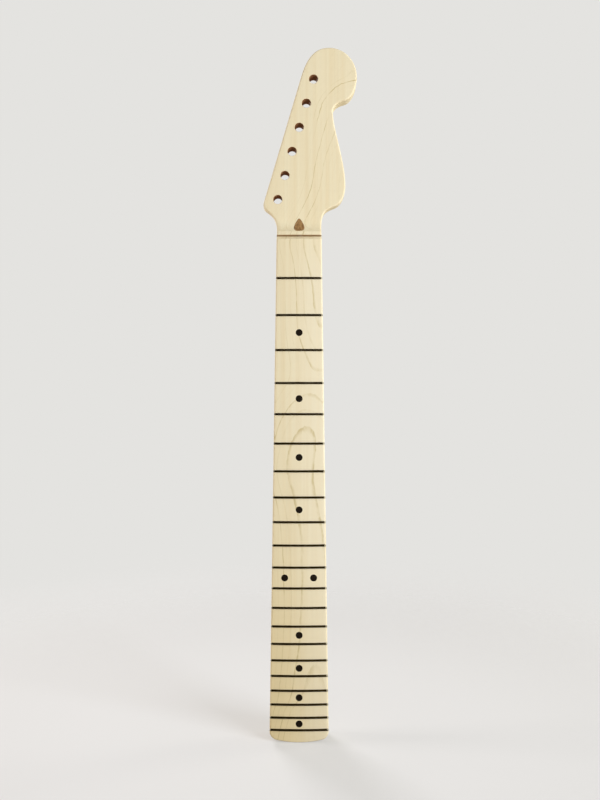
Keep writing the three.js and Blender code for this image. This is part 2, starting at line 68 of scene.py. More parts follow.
HEAD_BLEND_BELOW_NUT = 10 * MM
HEAD_BLEND_ABOVE_NUT = 44 * MM
NUT_SLOT_WIDTH = 3.4 * MM
LEDGE_DROP = 0.8 * MM
RAMP_RADIUS = 16 * MM
RAMP_END = 21.5 * MM
LEDGE_EASE = 1.2 * MM

HEEL_END = -HEEL_FLAT_LENGTH / 2
HEAD_BACK_DEPTH = HEAD_DROP + HEAD_THICKNESS
RAMP_HEIGHT = HEAD_DROP - LEDGE_DROP
LEDGE_END = RAMP_END - math.sqrt(RAMP_RADIUS**2 - (RAMP_RADIUS - RAMP_HEIGHT) ** 2)


def fret_place(fret):
    return SCALE_LENGTH * (1 - 2 ** (-fret / FRETS_PER_OCTAVE))


NUT_FRONT = HEEL_END + fret_place(FRET_COUNT) + HEEL_OVERHANG


def fret_height(fret):
    return NUT_FRONT - fret_place(fret)


def face_y(depth):
    return depth - HEEL_THICKNESS


def board_half(z):
    return np.interp(z, [HEEL_END, NUT_FRONT], [HEEL_WIDTH / 2, NUT_WIDTH / 2])


def board_sag(x):
    return BOARD_RADIUS - np.sqrt(BOARD_RADIUS**2 - x**2)


def ease(value, start, end):
    share = np.clip((value - start) / (end - start), 0, 1)
    return share * share * (3 - 2 * share)


def face_depth(x, z):
    """Depth of the face below the board's crown: board, then ledge, ramp and headstock above the nut."""
    rise = z - NUT_FRONT
    to_ramp_end = np.maximum(RAMP_END - rise, 0)
    on_ramp = RAMP_RADIUS - np.sqrt(RAMP_RADIUS**2 - np.minimum(to_ramp_end, RAMP_RADIUS) ** 2)
    corner = np.maximum(LEDGE_EASE - np.abs(on_ramp - RAMP_HEIGHT), 0)
    over_head = np.minimum(on_ramp, RAMP_HEIGHT) - corner**2 / (4 * LEDGE_EASE)
    above_nut = HEAD_DROP - over_head + board_sag(x) * over_head / RAMP_HEIGHT
    return np.where(rise < NUT_SLOT_WIDTH / 2, board_sag(x), above_nut)


def back_depth(z):
    """Depth of the middle of the back: flat heel, gently tapering neck, flat headstock."""
    places = [fret_place(FRETS_PER_OCTAVE), fret_place(1)]
    slope = (TWELFTH_FRET_THICKNESS - FIRST_FRET_THICKNESS) / (places[0] - places[1])
    neck = FIRST_FRET_THICKNESS + slope * (NUT_FRONT - z - places[1])
    flat_end = HEEL_END + HEEL_FLAT_LENGTH
    share = np.clip((z - flat_end) / HEEL_BLEND_LENGTH, 0, 1)
    from_heel = share**3 * (share * (6 * share - 15) + 10)
    to_head = ease(z, NUT_FRONT - HEAD_BLEND_BELOW_NUT, NUT_FRONT + RAMP_END)
    return neck + (HEEL_THICKNESS - neck) * (1 - from_heel) + (HEAD_BACK_DEPTH - neck) * to_head


def round_share(z):
    """How round the back is: not at all on the heel and the headstock, fully between them."""
    flat_end = HEEL_END + HEEL_FLAT_LENGTH
    from_heel = ease(z, flat_end, flat_end + HEEL_BLEND_LENGTH)
    return from_heel * (1 - ease(z, NUT_FRONT - HEAD_BLEND_BELOW_NUT, NUT_FRONT + HEAD_BLEND_ABOVE_NUT))


def cubic(points, count):
    t = (np.arange(count) / count)[:, None]
    a, b, c, d = (np.array(point) for point in points)
    return a * (1 - t) ** 3 + 3 * b * t * (1 - t) ** 2 + 3 * c * t**2 * (1 - t) + d * t**3


def line(start, end, count):
    t = (np.arange(count) / count)[:, None]
    return np.array(start) * (1 - t) + np.array(end) * t


def mirror(edge):
    return edge * [-1, 1]


def heel_edges():
    """The bowed end of the heel and its round corners, up to where the sides run straight."""
    bow_centre = HEEL_END + HEEL_BOW_RADIUS
    corner_x = HEEL_WIDTH / 2 - HEEL_CORNER_RADIUS
    inner_radius = HEEL_BOW_RADIUS - HEEL_CORNER_RADIUS
    corner_turn = math.asin(corner_x / inner_radius)
    corner_z = bow_centre - inner_radius * math.cos(corner_turn)
    bow_turns = np.linspace(0.02, 1, 18, endpoint=False) * corner_turn
    corner_turns = np.linspace(corner_turn, math.pi / 2, 20, endpoint=False)
    bow = np.stack([np.sin(bow_turns), -np.cos(bow_turns)], 1) * HEEL_BOW_RADIUS + [0, bow_centre]
    corner = np.stack([np.sin(corner_turns), -np.cos(corner_turns)], 1) * HEEL_CORNER_RADIUS
    return np.vstack([bow, corner + [corner_x, corner_z]]), corner_z


OVER_SLOT_SHARES = (0, 0.33, 0.49, 0.51, 0.67, 1, 1.4, 1.75, 1.9, 2.02)


def shaft_edge(start):
    """The straight sides of the shaft, which draw in a little over the slot of the nut and its ledge."""
    flat_end = HEEL_END + HEEL_FLAT_LENGTH
    blend_end = flat_end + HEEL_BLEND_LENGTH
    fade_start = NUT_FRONT - HEAD_BLEND_BELOW_NUT
    stretches = [(start, flat_end, 12), (flat_end, blend_end, 26), (blend_end, fade_start, 50),
                 (fade_start, NUT_FRONT, 10)]
    heights = np.concatenate([np.linspace(a, b, n, endpoint=False) for a, b, n in stretches])
    rows = [[float(board_half(z)), z] for z in heights]
    for share in OVER_SLOT_SHARES:
        width = NUT_WIDTH + (WIDTH_ABOVE_NUT - NUT_WIDTH) * ease(share, 0, OVER_SLOT_SHARES[-1])
        rows.append([width / 2, NUT_FRONT + share * NUT_SLOT_WIDTH])
    return np.array(rows)


BASS_FLARE_SHARES = [(-0.277, 0.132), (-0.345, 0.158)]
BASS_CORNER_SHARES = [(-0.375, 0.169), (-0.387, 0.180), (-0.3735, 0.2022)]
BASS_STRAIGHT_END_SHARES = [(0.0215, 0.8496)]
BASS_TIP_SHARES = [(0.086, 0.9554), (0.1777, 1), (0.3192, 1)]
TREBLE_FLARE_SHARES = [(0.2547, 0.1543), (0.3792, 0.1791)]
TREBLE_BOUT_SHARES = [(0.4414, 0.1915), (0.4912, 0.2314), (0.4912, 0.2865)]
TREBLE_WAIST_SHARES = [(0.4912, 0.4132), (0.363, 0.573), (0.3577, 0.6678)]
TREBLE_NOTCH_SHARES = [(0.3554, 0.6942), (0.4075, 0.7168), (0.4697, 0.7234)]
TREBLE_BALL_SHARES = [(0.5546, 0.7325), (0.6129, 0.7824), (0.6129, 0.8512)]
TREBLE_TIP_SHARES = [(0.6129, 0.9333), (0.481, 1), (0.3192, 1)]
FLARE_RISE_SHARES = (0.11, 0.1433)
ACROSS_SHARES = (0, 0.69, 0.84, 1)


def head_points(shares):
    return [(across * HEAD_WIDTH, NUT_FRONT + up * HEAD_LENGTH) for across, up in shares]


straight_start = np.array(head_points(BASS_CORNER_SHARES)[-1])
straight_end = np.array(head_points(BASS_STRAIGHT_END_SHARES)[0])


def head_edges():
    """Bass and treble edges of the headstock, from the ledge over the nut to the tip."""
    foot = NUT_FRONT + LEDGE_END
    feet = [(side * WIDTH_ABOVE_NUT / 2, foot) for side in (-1, 1)]
    lifts = [(x, NUT_FRONT + share * HEAD_LENGTH) for (x, _), share in zip(feet, FLARE_RISE_SHARES)]
    across = [straight_start + (straight_end - straight_start) * share for share in ACROSS_SHARES]
    counts = [56, 22, 26, 26, 26, 44]
    bass, treble = [], []
    bass.append(cubic([feet[0], lifts[0], *head_points(BASS_FLARE_SHARES)], counts[0]))
    treble.append(cubic([feet[1], lifts[1], *head_points(TREBLE_FLARE_SHARES)], counts[0]))
    bass.append(cubic([head_points(BASS_FLARE_SHARES)[-1], *head_points(BASS_CORNER_SHARES)], counts[1]))
    for start, end, count in zip(across, across[1:], counts[2:5]):
        bass.append(line(start, end, count))
    bass.append(cubic([straight_end, *head_points(BASS_TIP_SHARES)], counts[5]))
    start = head_points(TREBLE_FLARE_SHARES)[-1]
    stretches = [TREBLE_BOUT_SHARES, TREBLE_WAIST_SHARES, TREBLE_NOTCH_SHARES, TREBLE_BALL_SHARES,
                 TREBLE_TIP_SHARES]
    for shares, count in zip(stretches, counts[1:]):
        treble.append(cubic([start, *head_points(shares)], count))
        start = head_points(shares)[-1]
    return np.vstack(bass), np.vstack(treble)


def edge_distance(spots, outline, closed_low, closed_high):
    """Shortest way in plan from each spot to a stretch of the bass and treble edges."""
    bass, treble = outline
    starts = np.vstack([bass[:-1], treble[:-1]])
    ends = np.vstack([bass[1:], treble[1:]])
    for closed, row in ((closed_low, 0), (closed_high, -1)):
        if closed:
            starts = np.vstack([starts, bass[row]])
            ends = np.vstack([ends, treble[row]])
    along = ends - starts
    away = spots[:, None] - starts
    share = np.clip((away * along).sum(2) / (along**2).sum(1), 0, 1)
    return np.linalg.norm(away - share[..., None] * along, axis=2).min(1)


def edge_lean(edge, outward):
    """How squarely each rib meets an edge: 1 where it is square to it, less where it runs along it."""
    along = np.gradient(edge, axis=0)
    along /= np.linalg.norm(along, axis=1)[:, None]
    return np.abs(along[:, 0] * outward[:, 1] - along[:, 1] * outward[:, 0])


FACE_STEPS = 12
ROLL_STEPS = 7
SIDE_STEPS = 5
BACK_STEPS = 22
FLAT_STEPS = 8
NEIGHBOURS = 34
LEAST_LEAN = 0.05
TIP_CLOSING_SHARE = 0.6


def rib_half(middle, outward, half_span, lean, near, side):
    """One half of a rib, from beside the middle of the face round to beside the middle of the back."""
    z = middle[1]
    roll = HEEL_END_ROLL + (EDGE_ROLL - HEEL_END_ROLL) * ease(z, HEEL_END, HEEL_END + HEEL_CORNER_RADIUS)
    shape = round_share(z)
    across = BACK_EDGE_ROUND + (BACK_ROUND_SHARE * half_span - BACK_EDGE_ROUND) * shape
    deep = BACK_EDGE_ROUND + (back_depth(z) - SIDE_DEPTH - BACK_EDGE_ROUND) * shape
    most = BACK_ROUND_SHARE * half_span
    turn = np.linspace(0, math.pi / 2, ROLL_STEPS + 1)
    roll_reach = half_span - np.minimum(roll * (1 - np.sin(turn)) / lean, most * (1 - np.sin(turn)))
    face_reach = np.linspace(0, roll_reach[0], FACE_STEPS + 1)[1:-1]
    turn = np.linspace(0, math.pi / 2, BACK_STEPS + 1)
    round_reach = half_span - np.minimum(across * (1 - np.cos(turn)) / lean, most * (1 - np.cos(turn)))
    flat_reach = np.linspace(round_reach[-1], 0, FLAT_STEPS + 1)[1:-1]
    front = np.concatenate([face_reach, roll_reach])
    back = np.concatenate([round_reach, flat_reach])
    front_spots = middle + side * front[:, None] * outward
    back_spots = middle + side * back[:, None] * outward
    front_way = near(front_spots)
    back_way = near(back_spots)
    front_way[-1] = 0
    back_way[0] = 0
    rolled = roll - np.sqrt(roll**2 - np.clip(roll - front_way, 0, roll) ** 2)
    front_depth = face_depth(front_spots[:, 0], front_spots[:, 1]) + rolled
    rounded = 1 - np.sqrt(1 - np.clip(1 - back_way / across, 0, 1) ** 2)
    back_spot_depth = back_depth(back_spots[:, 1]) - deep * rounded
    side_depth = np.linspace(front_depth[-1], back_spot_depth[0], SIDE_STEPS + 1)[1:-1]
    side_spots = np.repeat(front_spots[-1:], SIDE_STEPS - 1, axis=0)
    spots = np.vstack([front_spots, side_spots, back_spots])
    depth = np.concatenate([front_depth, side_depth, back_spot_depth])
    return np.stack([spots[:, 0], face_y(depth), spots[:, 1]], 1)


def carve_blank():
    """Points and faces of the blank before anything is cut into it, rib by rib from the heel to the tip."""
    heel, corner_z = heel_edges()
    shaft = shaft_edge(corner_z)
    head_bass, head_treble = head_edges()
    bass = np.vstack([mirror(heel), mirror(shaft), head_bass])
    treble = np.vstack([heel, shaft, head_treble])
    tip = np.array(head_points(TREBLE_TIP_SHARES)[-1])
    last = [edge[-1] + (tip - edge[-1]) * TIP_CLOSING_SHARE for edge in (bass, treble)]
    bass = np.vstack([bass, last[0]])
    treble = np.vstack([treble, last[1]])
    span = treble - bass
    half_spans = np.linalg.norm(span, axis=1) / 2
    outward = span / np.linalg.norm(span, axis=1)[:, None]
    leans = [np.maximum(edge_lean(edge, outward), LEAST_LEAN) for edge in (treble, bass)]
    rings = []
    count = len(bass)
    for row in range(count):
        low, high = max(row - NEIGHBOURS, 0), min(row + NEIGHBOURS + 1, count)
        outline = (bass[low:high], treble[low:high])

        def near(spots):
            return edge_distance(spots, outline, low == 0, high == count)

        middle = (bass[row] + treble[row]) / 2
        halves = [
            rib_half(middle, outward[row], half_spans[row], leans[i][row], near, side)
            for i, side in enumerate((1, -1))
        ]
        front = np.array([middle[0], 0, middle[1]])
        back = front.copy()
        front[1] = (halves[0][0, 1] + halves[1][0, 1]) / 2
        back[1] = (halves[0][-1, 1] + halves[1][-1, 1]) / 2
        rings.append(np.vstack([front, halves[0], back, halves[1][::-1]]))
    return skin(rings)


def skin(rings):
    """Points and faces of a closed skin over rings of points, with a fan over each end."""
    points = np.vstack(rings)
    size = len(rings[0])
    at = np.arange(size)
    after = (at + 1) % size
    faces = []
    for row in range(len(rings) - 1):
        a, b = row * size + at, row * size + after
        faces += np.stack([a, b, b + size, a + size], 1).tolist()
    low_hub, high_hub = len(points), len(points) + 1
    last = (len(rings) - 1) * size
    faces += [[low_hub, b, a] for a, b in zip(at.tolist(), after.tolist())]
    faces += [[high_hub, last + a, last + b] for a, b in zip(at.tolist(), after.tolist())]
    points = np.vstack([points, rings[0].mean(0), rings[-1].mean(0)])
    return points, faces


def new_piece(name, points, faces):
    mesh = bpy.data.meshes.new(name)
    mesh.from_pydata(np.asarray(points).tolist(), [], faces)
    mesh.validate()
    piece = bpy.data.objects.new(name, mesh)
    bpy.context.scene.collection.objects.link(piece)
    return piece


neck = new_piece("maple_neck", *carve_blank())

# Neck blank: cuts
# Slots for the nut and the frets, recesses for the dots, six tuner holes with eased rims, the pocket and
# channel of the truss rod, and the bore of the plug are all cut into the one piece of wood.
OVERRUN = 5 * MM
INLAY_FIT = 0.03 * MM
NUT_SLOT_DEPTH = 3.2 * MM
TANG_THICKNESS = 0.52 * MM
TANG_DEPTH = 1.6 * MM
TANG_PLAY = 0.06 * MM
FRET_SEAT_GAP = 0.15 * MM
DOT_RADIUS = 3.175 * MM
DOT_DEPTH = 2 * MM
OCTAVE_DOT_SPACING = 26.8 * MM
SIDE_DOT_RADIUS = 1 * MM
SIDE_DOT_DEPTH = 3 * MM
SIDE_DOT_DROP = 4.2 * MM
OCTAVE_SIDE_DOT_SPACING = 8 * MM
DOTTED_FRETS = [3, 5, 7, 9, 12, 15, 17, 19, 21]
TUNER_COUNT = 6
TUNER_HOLE_RADIUS = 4.2 * MM
TUNER_PITCH = 23.57 * MM
TUNER_INSET = 11.8 * MM
LOWEST_TUNER_RISE = 5.6 * MM
HOLE_EASE = 0.25 * MM
ROD_RADIUS = 2.38 * MM
ROD_PLAY = 0.3 * MM
ROD_DEPTH_AT_HEEL = 11.5 * MM
ROD_SLOPE_SHARE = 0.15
ROD_HEEL_REACH = 150 * MM
ROD_HEAD_REACH = 60 * MM
ROD_END_PROUD = 0.6 * MM
ROD_NUT_RADIUS = 4.5 * MM
ROD_NUT_LENGTH = 10 * MM
ROD_NUT_RECESS = 1 * MM
ROD_NUT_THREAD = 6 * MM
ROD_NUT_SEAT_GAP = 0.1 * MM
POCKET_PLAY = 0.5 * MM
WASHER_THICKNESS = 1.2 * MM
ANCHOR_THICKNESS = 3.2 * MM
PLUG_RADIUS = 4.9 * MM
PLUG_AXIS_HEIGHT = 2.97 * MM
PLUG_SHOW_START = 7.55 * MM
BORE_FLOOR = 3.9 * MM
STRIPE_WIDTH = 6.35 * MM
STRIPE_BELOW_NUT = 8 * MM
STRIPE_ABOVE_HEEL_END = 48 * MM
UP = np.array([0.0, 0.0, 1.0])
FORWARD = np.array([0.0, -1.0, 0.0])
TURNED_FACETS = 96
ROD_FACETS = 48
ROD_STEPS = 60
SHARP_EDGE_DEGREES = 38


def ring_about(centre, direction, radius, facets):
    """Points of a circle about a direction, anticlockwise as seen from where the direction points."""
    along = np.asarray(direction) / np.linalg.norm(direction)
    first = np.cross(along, [1.0, 0, 0] if abs(along[0]) < 0.9 else [0, 1.0, 0])
    first /= np.linalg.norm(first)
    second = np.cross(along, first)
    turn = (np.arange(facets) + 0.5) * 2 * math.pi / facets
    return centre + radius * (np.cos(turn)[:, None] * first + np.sin(turn)[:, None] * second)


def turned(start, direction, profile):
    """A round solid about an axis, from pairs of distance along it and radius."""
    along = np.asarray(direction) / np.linalg.norm(direction)
    return skin([
        ring_about(start + along * reach, along, radius, TURNED_FACETS) for reach, radius in profile
    ])


def block(low, high):
    x, y, z = zip(low, high)
    floor = [(x[0], y[0]), (x[1], y[0]), (x[1], y[1]), (x[0], y[1])]
    points = [(a, b, c) for c in z for a, b in floor]
    faces = [[0, 3, 2, 1], [4, 5, 6, 7], [0, 1, 5, 4], [1, 2, 6, 5], [2, 3, 7, 6], [3, 0, 4, 7]]
    return np.array(points), faces


def join(solids):
    points, faces, count = [], [], 0
    for more_points, more_faces in solids:
        points.append(more_points)
        faces += [[count + corner for corner in face] for face in more_faces]
        count += len(more_points)
    return np.vstack(points), faces


def cut(piece, *solids):
    """Cuts solids that don't touch each other out of a piece."""
    tool = new_piece("cutter", *join(solids))
    modifier = piece.modifiers.new("cut", "BOOLEAN")
    modifier.operation = "DIFFERENCE"
    modifier.solver = "MANIFOLD"
    modifier.object = tool
    with bpy.context.temp_override(object=piece, active_object=piece):
        bpy.ops.object.modifier_apply(modifier=modifier.name)
    bpy.data.meshes.remove(tool.data)


def fret_slot(fret):
    z = fret_height(fret)
    half = board_half(z) + OVERRUN
    floor = face_y(board_sag(board_half(z)) + FRET_SEAT_GAP + TANG_DEPTH + TANG_PLAY)
    width = TANG_THICKNESS / 2 + TANG_PLAY
    return block((-half, floor - OVERRUN, z - width), (half, floor, z + width))


def dot_height(fret):
    return (fret_height(fret) + fret_height(fret - 1)) / 2


def dot_places():
    """Name, side and height of each dot of the face: one in the middle, but a pair at the octave."""
    for fret in DOTTED_FRETS:
        if fret == FRETS_PER_OCTAVE:
            yield f"{fret}_bass", -OCTAVE_DOT_SPACING / 2, dot_height(fret)
            yield f"{fret}_treble", OCTAVE_DOT_SPACING / 2, dot_height(fret)
        else:
            yield f"{fret}", 0.0, dot_height(fret)


def side_dot_places():
    for fret in DOTTED_FRETS:
        if fret == FRETS_PER_OCTAVE:
            yield f"{fret}_lower", dot_height(fret) - OCTAVE_SIDE_DOT_SPACING / 2
            yield f"{fret}_upper", dot_height(fret) + OCTAVE_SIDE_DOT_SPACING / 2
        else:
            yield f"{fret}", dot_height(fret)


def tuner_places():
    along = (straight_end - straight_start) / np.linalg.norm(straight_end - straight_start)
    inward = np.array([along[1], -along[0]])
    for place in range(TUNER_COUNT):
        yield straight_start + along * (LOWEST_TUNER_RISE + place * TUNER_PITCH) + inward * TUNER_INSET


def tuner_hole(place):
    start = np.array([place[0], face_y(HEAD_BACK_DEPTH + OVERRUN), place[1]])
    wide = TUNER_HOLE_RADIUS + HOLE_EASE + OVERRUN
    back, front = OVERRUN, OVERRUN + HEAD_THICKNESS
    profile = [(0, wide), (back + HOLE_EASE, TUNER_HOLE_RADIUS), (front - HOLE_EASE, TUNER_HOLE_RADIUS),
               (front + OVERRUN, wide)]
    return turned(start, FORWARD, profile)


plug_direction = np.array([0, -ROD_SLOPE_SHARE, 1])
plug_direction /= np.linalg.norm(plug_direction)
bore_depth = HEAD_DROP - PLUG_AXIS_HEIGHT - ROD_SLOPE_SHARE * (BORE_FLOOR - PLUG_SHOW_START)
bore_start = np.array([0, face_y(bore_depth), NUT_FRONT + BORE_FLOOR])
pocket_depth = ROD_NUT_RECESS + ROD_NUT_LENGTH + ROD_NUT_SEAT_GAP + WASHER_THICKNESS
rod_y = face_y(ROD_DEPTH_AT_HEEL)
rod_heel_end = HEEL_END + ROD_NUT_RECESS + ROD_NUT_LENGTH - ROD_NUT_THREAD + ROD_NUT_SEAT_GAP
rod_bend_start = np.array([0, rod_y, HEEL_END + pocket_depth + OVERRUN])
rod_head_end = bore_start + plug_direction * (ANCHOR_THICKNESS + ROD_END_PROUD)


def rod_path():
    pull = [rod_bend_start + UP * ROD_HEEL_REACH, rod_head_end - plug_direction * ROD_HEAD_REACH]
    bend = cubic([rod_bend_start, *pull, rod_head_end], ROD_STEPS)
    return np.vstack([[0, rod_y, rod_heel_end], bend, rod_head_end])


def rod_tube(radius):
    path = rod_path()
    along = np.gradient(path, axis=0)
    return skin([ring_about(spot, way, radius, ROD_FACETS) for spot, way in zip(path, along)])


def stripe_rows(fit, behind_rod):
    """Height, half width and inner depth of the stripe, from its lower round end to its upper one."""
    half = STRIPE_WIDTH / 2 + fit
    bottom = HEEL_END + STRIPE_ABOVE_HEEL_END + STRIPE_WIDTH / 2
    top = NUT_FRONT - STRIPE_BELOW_NUT - STRIPE_WIDTH / 2
    turn = np.linspace(0.06, 1, 14) * math.pi / 2
    low = bottom - half * np.cos(turn)
    high = (top + half * np.cos(turn))[::-1]
    heights = np.concatenate([low, np.linspace(bottom, top, 90)[1:-1], high])
    beyond = np.maximum(np.maximum(bottom - heights, heights - top), 0)
    path = rod_path()
    inner = np.interp(heights, path[:, 2], path[:, 1]) + behind_rod
    return heights, np.sqrt(half**2 - beyond**2), inner


def groove(fit, behind_rod):
    rings = []
    for z, half, inner in zip(*stripe_rows(fit, behind_rod)):
        rings.append([(-half, inner, z), (half, inner, z), (half, OVERRUN, z), (-half, OVERRUN, z)])
    return skin([np.array(ring) for ring in rings])


def round_recess(x, y, z, direction, depth, radius):
    start = np.array([x, y, z]) - np.asarray(direction) * depth
    return turned(start, direction, [(0, radius + INLAY_FIT), (depth + OVERRUN, radius + INLAY_FIT)])


nut_slot_half = NUT_WIDTH / 2 + OVERRUN
nut_slot = block(
    (-nut_slot_half, face_y(-OVERRUN), NUT_FRONT),
    (nut_slot_half, face_y(NUT_SLOT_DEPTH), NUT_FRONT + NUT_SLOT_WIDTH),
)
face_recesses = [
    round_recess(x, face_y(board_sag(x)), z, FORWARD, DOT_DEPTH, DOT_RADIUS) for _, x, z in dot_places()
]
side_recesses = [
    round_recess(-board_half(z), face_y(SIDE_DOT_DROP), z, (-1, 0, 0), SIDE_DOT_DEPTH, SIDE_DOT_RADIUS)
    for _, z in side_dot_places()
]
pocket_start = np.array([0, rod_y, HEEL_END - OVERRUN])
pocket_radius = ROD_NUT_RADIUS + POCKET_PLAY
rod_pocket = turned(pocket_start, UP, [(0, pocket_radius), (OVERRUN + pocket_depth, pocket_radius)])
bore_length = RAMP_END + OVERRUN
bore_radius = PLUG_RADIUS + INLAY_FIT
plug_bore = turned(bore_start, plug_direction, [(0, bore_radius), (bore_length, bore_radius)])
cut(neck, nut_slot, rod_pocket, *map(fret_slot, range(1, FRET_COUNT + 1)), *face_recesses)
cut(neck, *side_recesses, *map(tuner_hole, tuner_places()), plug_bore)
cut(neck, rod_tube(ROD_RADIUS + ROD_PLAY))
cut(neck, groove(INLAY_FIT, -(ROD_RADIUS + ROD_PLAY + INLAY_FIT)))


def smooth(piece):
    for polygon in piece.data.polygons:
        polygon.use_smooth = True
    piece.data.set_sharp_from_angle(angle=math.radians(SHARP_EDGE_DEGREES))


def fit(piece, material, slot, body, *nodes):
    """Finishes a piece, hides the nodes it stands for, and lets it ride on its body."""
    smooth(piece)
    piece.data.materials.clear()
    piece.data.materials.append(material)
    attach(piece, body)
    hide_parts(*nodes)


# Neck blank: maple
# Plain-sawn maple, pale cream, sanded and left satin: growth rings cut into arches on the treble side and
# into long lines on the bass side, with faint streaks, fine fibres and short dark flecks along the grain.
# Painted light too: the treble side of the board is painted paler, and the heel end and bass side yellower
# and darker as painted shade. The walls of the tuner holes and the corner of the nut's slot also carry
# painted shade.
class Wire:
    """An output of a shader node, which takes part in Python sums."""

    def __init__(self, tree, socket=None):
        self.tree = tree
        self.socket = socket

    def add(self, kind, settings=None, sockets=None, out=0):
        """Adds a node: its settings first, then the values or links of its sockets."""
        node = self.tree.nodes.new(kind)
        for name, value in (settings or {}).items():
            if name == "stops":
                stops = node.color_ramp.elements
                stops[-1].position = value[-1][0]
                for at, _ in value[1:-1]:
                    stops.new(at)
                for stop, (at, shade) in zip(stops, value):
                    stop.position = at
                    stop.color = (*shade, 1)
            elif name == "between_stops":
                node.color_ramp.interpolation = value
            else:
                setattr(node, name, value)
        for name, value in (sockets or {}).items():
            if isinstance(value, Wire):
                self.tree.links.new(value.socket, node.inputs[name])
            else:
                node.inputs[name].default_value = value
        return Wire(self.tree, node.outputs[out])

    def math(self, operation, *others):
        return self.add("ShaderNodeMath", {"operation": operation}, dict(enumerate((self, *others))))

    def __add__(self, other):
        return self.math("ADD", other)

    def __mul__(self, other):
        return self.math("MULTIPLY", other)

    def __sub__(self, other):
        return self.math("SUBTRACT", other)

    def __rsub__(self, other):
        return self.add("ShaderNodeMath", {"operation": "SUBTRACT"}, {0: other, 1: self})

    def __truediv__(self, other):
        return self.math("DIVIDE", other)

    def __pow__(self, other):
        return self.math("POWER", other)

    __radd__ = __add__
    __rmul__ = __mul__

    def clear_between(self, low, high):
        """0 below low, 1 above high and a smooth rise between them."""
        return self.add(
            "ShaderNodeMapRange",
            {"interpolation_type": "SMOOTHSTEP", "clamp": True},
            {"Value": self, "From Min": low, "From Max": high},
        )

    def part(self, axis):
        return self.add("ShaderNodeSeparateXYZ", None, {0: self}, out="XYZ".index(axis))

    def stretched(self, x, y, z):
        """A place scaled by another amount on each axis."""
        return self.add("ShaderNodeVectorMath", {"operation": "MULTIPLY"}, {0: self, 1: (x, y, z)})

    def moved(self, x, y, z):
        return self.add("ShaderNodeVectorMath", {"operation": "ADD"}, {0: self, 1: (x, y, z)})

    def noise(self, detail=2.0, roughness=0.5, distortion=0.0):
        sockets = {"Vector": self, "Scale": 1.0, "Detail": detail, "Roughness": roughness}
        return self.add("ShaderNodeTexNoise", None, {**sockets, "Distortion": distortion})

    def between(self, first, second):
        """The first colour where this value is 0, the second where it is 1. A Mix node takes its factor at
        socket 0 and its colours at 6 and 7, and gives their mix at output 2."""
        return self.add("ShaderNodeMix", {"data_type": "RGBA"}, {0: self, 6: first, 7: second}, out=2)

    def mixed(self, other, share):
        """This colour with a share of another."""
        return share.between(self, other)

    def darkened(self, factor):
        """This colour times a value."""
        grey = factor.add("ShaderNodeCombineXYZ", None, {0: factor, 1: factor, 2: factor})
        settings = {"data_type": "RGBA", "blend_type": "MULTIPLY"}
        return self.add("ShaderNodeMix", settings, {0: 1.0, 6: self, 7: grey}, out=2)


def colour(red, green, blue):
    """A colour given as it looks on a screen, from 0 to 255, as the four linear numbers that nodes take."""
    def linear(value):
        value /= 255
        return value / 12.92 if value <= 0.04045 else ((value + 0.055) / 1.055) ** 2.4

    return (linear(red), linear(green), linear(blue), 1)


def new_material(name):
    """An empty material, its shader node and the place on the object in millimetres."""
    material = bpy.data.materials.new(name)
    material.use_nodes = True
    tree = material.node_tree
    shader = tree.nodes["Principled BSDF"]
    place = Wire(tree).add("ShaderNodeTexCoord", out="Object").stretched(1 / MM, 1 / MM, 1 / MM)
    return material, shader, place


def connect(shader, **wires):
    """Links wires to the shader's sockets, whose names are written here with low lines for spaces."""
    for name, wire in wires.items():
        shader.id_data.links.new(wire.socket, shader.inputs[name.replace("_", " ")])


def relief(height, depth_mm):
    """Bump from a height between 0 and 1."""
    return height.add("ShaderNodeBump", None, {"Strength": 1.0, "Distance": depth_mm * MM, "Height": height})


PITH_ROWS = [
    (-45, 12, 37),
    (-8, 12, 43.6),
    (6, 12, 46.4),
    (20, 12, 47),
    (37, 12, 47.6),
    (80, 13, 49),
    (140, 10.5, 49.2),
    (164, 9, 49.1),
    (184, 6, 49),
    (202, 1, 49),
    (218, 0.5, 48.4),
    (236, 3, 48.7),
    (256, 5.5, 49.6),
    (273, 6, 53),
    (288, 8, 56),
    (302, 14, 56.6),
    (316, 18.5, 54.6),
    (332, 20, 52),
    (350, 21, 50.2),
    (372, 22.3, 49.5),
    (392, 22.5, 48.8),
    (410, 23, 47.6),
    (430, 18, 46.7),
    (454, 33, 47.2),
    (478, 47, 45.2),
    (500, 50.5, 44),
    (520, 52, 47.6),
    (540, 52.3, 51.8),
    (557, 53.5, 54),
    (568, 54, 57.8),
    (582, 55, 65.5),
    (625, 58, 75),
]
PITH_REACH_MM = 100
RING_MM = 2.65
FIRST_RING_MM = 50
BALL_START = NUT_FRONT + 0.58 * HEAD_LENGTH
RING_SHOWS = {
    -13: (0.14, 0.06, 0.0),
    -12: (0.24, 0.1, 0.0),
    -11: (0.1, 0.05, 0.0),
    -10: (0.34, 0.12, 0.0),
    -9: (0.1, 0.05, 0.0),
    -8: (0.26, 0.1, 0.0),
    -7: (0.12, 0.05, 0.0),
    -6: (0.36, 0.1, 0.0),
    -5: (0.14, 0.08, 0.0),
    -4: (0.05, 0.05, 0.0),
    -3: (0.05, 0.1, 0.0),
    -2: (0.06, 0.6, 0.0),
    -1: (0.3, 0.05, 0.0),
    0: (0.46, 0.75, 0.04),
    1: (0.16, 0.06, 0.05),
    2: (0.5, 0.16, 0.85),
    3: (0.08, 0.04, 0.2),
    4: (0.16, 0.08, 0.05),
    5: (0.06, 0.03, 0.03),
    6: (0.12, 0.09, 0.06),
    7: (0.05, 0.03, 0.02),
    8: (0.1, 0.06, 0.05),
    9: (0.04, 0.03, 0.02),
    10: (0.06, 0.05, 0.04),
    11: (0.03, 0.02, 0.02),
    12: (0.08, 0.04, 0.03),
}


